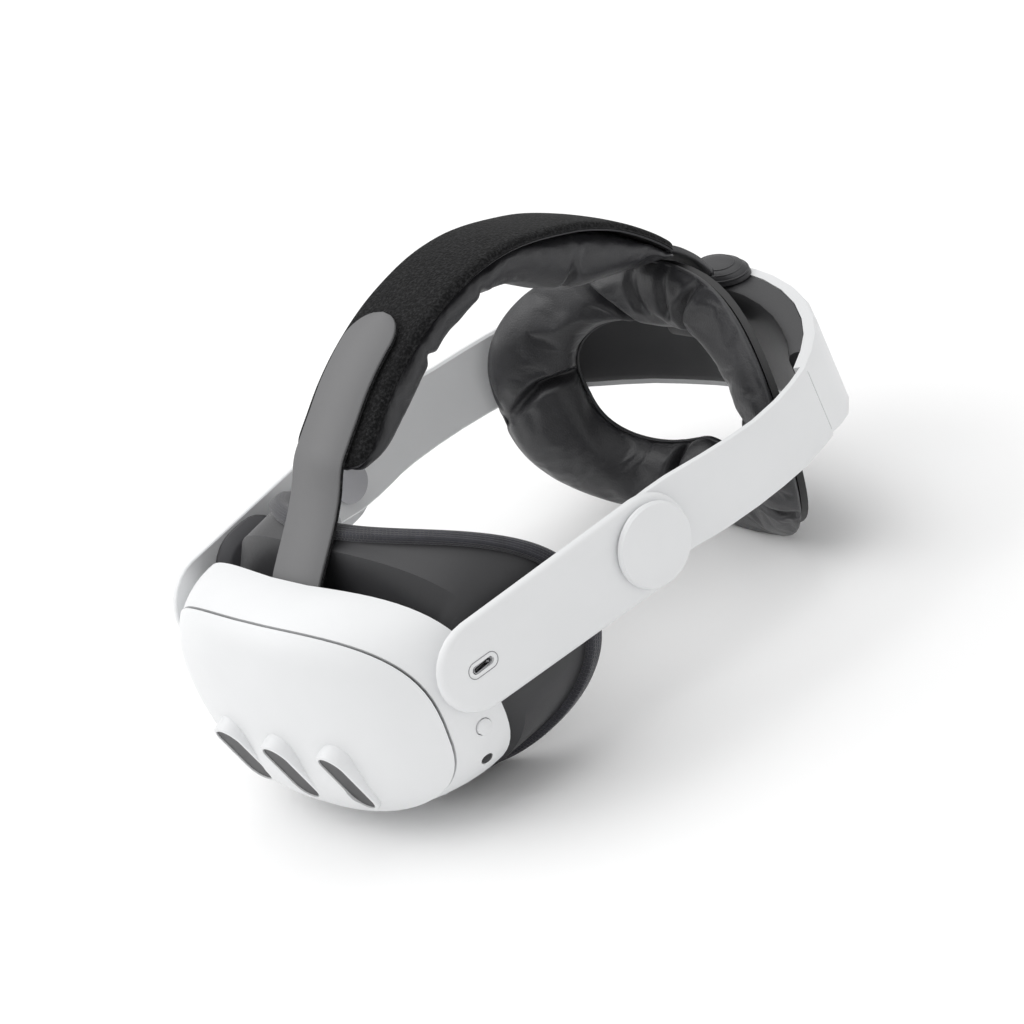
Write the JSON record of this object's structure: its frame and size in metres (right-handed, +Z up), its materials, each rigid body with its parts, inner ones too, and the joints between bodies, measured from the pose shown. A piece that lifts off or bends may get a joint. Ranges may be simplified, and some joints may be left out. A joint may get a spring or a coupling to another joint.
{
  "type": "virtual reality headset",
  "caption": "Wrap-around headset with a domed front cover, hinged side arms, a rear band with a ring-shaped back cushion and a padded strap over the head.",
  "frame": {"origin": "centre of the footprint, on the surface the headset stands on", "axes": "+X to the wearer's left, +Y from the front cover towards the back cushion, +Z up; the headset stands on the cheek rim of its face cushion and on the lower edge of its back cushion"},
  "size_m": [0.1874, 0.287, 0.1624],
  "materials": {
    "white_plastic": "satin",
    "grey_plastic": "satin",
    "dark_plastic": "satin",
    "black_plastic": "satin",
    "smoked_window": "gloss",
    "lens_glass": "polished",
    "bare_metal": "satin",
    "circuit_board": "satin",
    "battery_wrap": "matte",
    "knit_fabric": "matte",
    "loop_fabric": "matte",
    "black_leatherette": "soft sheen",
    "grey_leatherette": "matte"
  },
  "bodies": {
    "visor": {"front_cover": "white_plastic", "cover_gasket": "black_plastic", "sensor_window_left": "smoked_window", "sensor_window_middle": "smoked_window", "sensor_window_right": "smoked_window", "main_shell": "white_plastic", "side_camera_left": "smoked_window", "side_camera_right": "smoked_window", "rear_frame": "dark_plastic", "lens_surround": "black_plastic", "chassis": "bare_metal", "mainboard": "circuit_board", "heat_sink": "bare_metal", "cooling_fan": "dark_plastic", "battery_pack": "battery_wrap"},
    "interface": {"facial_interface": "dark_plastic", "face_cushion": "knit_fabric"},
    "optics_left": {"lens_barrel_left": "black_plastic", "lens_left": "lens_glass", "display_left": "black_plastic"},
    "optics_right": {"lens_barrel_right": "black_plastic", "lens_right": "lens_glass", "display_right": "black_plastic"},
    "ipd_dial": {"ipd_wheel": "dark_plastic"},
    "power": {"power_button": "white_plastic"},
    "volume": {"volume_rocker": "white_plastic"},
    "arm_left": {"arm_shell_left": "white_plastic", "arm_liner_left": "grey_plastic", "speaker_left": "black_plastic", "arm_clip_left": "grey_plastic", "pivot_cap_left": "white_plastic", "pivot_pin_left": "bare_metal", "usb_c_port": "bare_metal", "front_strap": "grey_leatherette"},
    "arm_right": {"arm_shell_right": "white_plastic", "arm_liner_right": "grey_plastic", "speaker_right": "black_plastic", "arm_clip_right": "grey_plastic", "pivot_cap_right": "white_plastic", "pivot_pin_right": "bare_metal", "audio_jack": "black_plastic"},
    "bands": {"rear_band_left": "white_plastic", "rear_band_right": "white_plastic", "band_rack_left": "black_plastic", "band_rack_right": "black_plastic", "top_pad_cover": "loop_fabric", "top_pad_cushion": "black_leatherette"},
    "housing": {"rear_housing": "white_plastic", "housing_liner": "dark_plastic", "cushion_bracket": "black_plastic", "top_anchor": "dark_plastic", "anchor_cap": "dark_plastic", "ring_plate": "black_plastic", "ring_cushion": "black_leatherette"},
    "dial": {"fit_dial": "dark_plastic", "dial_pinion": "bare_metal"}
  },
  "joints": [
    {"name": "arm_left_pivot", "type": "hinge", "parent": "visor", "child": "arm_left", "pos_m": [0.0786, -0.09667, 0.0653], "axis": [1, 0, 0], "range_deg": [-8, 8], "deforming": ["front_strap"]},
    {"name": "arm_right_pivot", "type": "hinge", "parent": "visor", "child": "arm_right", "pos_m": [-0.0786, -0.09667, 0.0653], "axis": [1, 0, 0], "range_deg": [-8, 8]},
    {"name": "band_pivot", "type": "hinge", "parent": "arm_left", "child": "bands", "pos_m": [0.084, -0.01765, 0.0671], "axis": [1, 0, 0], "range_deg": [-6, 2], "deforming": ["front_strap"]},
    {"name": "band_slide", "type": "slide", "parent": "bands", "child": "housing", "axis": [0, 0.9965, 0.0834], "range_m": [0, 0.01], "deforming": ["top_pad_cover", "top_pad_cushion", "band_rack_left", "band_rack_right"]},
    {"name": "dial_turn", "type": "hinge", "parent": "housing", "child": "dial", "pos_m": [0, 0.13492, 0.06069], "axis": [0, 0.9965, 0.0834], "range_deg": [-5, 120]},
    {"name": "interface_depth", "type": "slide", "parent": "visor", "child": "interface", "axis": [0, 0.9965, 0.0834], "range_m": [0, 0.01]},
    {"name": "optics_left_slide", "type": "slide", "parent": "visor", "child": "optics_left", "axis": [1, 0, 0], "range_m": [-0.003, 0.003]},
    {"name": "optics_right_slide", "type": "slide", "parent": "visor", "child": "optics_right", "axis": [1, 0, 0], "range_m": [-0.003, 0.003]},
    {"name": "ipd_turn", "type": "hinge", "parent": "visor", "child": "ipd_dial", "pos_m": [0, -0.08969, 0.02856], "axis": [0, 0.9965, 0.0834], "range_deg": [-45, 45]},
    {"name": "power_press", "type": "slide", "parent": "visor", "child": "power", "axis": [-1, 0, 0], "range_m": [0, 0.0006], "stiffness_N_per_m": 1500},
    {"name": "volume_rock", "type": "hinge", "parent": "visor", "child": "volume", "pos_m": [0.031, -0.10423, 0.01048], "axis": [0, 0.9965, 0.0834], "range_deg": [-1.5, 1.5], "stiffness_Nm_per_rad": 0.5}
  ],
  "couplings": [
    {"joint": "arm_right_pivot", "follows": "arm_left_pivot", "ratio": 1},
    {"joint": "optics_right_slide", "follows": "optics_left_slide", "ratio": -1},
    {"joint": "ipd_turn", "follows": "optics_left_slide", "rad_per_m": 238},
    {"joint": "dial_turn", "follows": "band_slide", "rad_per_m": 200}
  ]
}
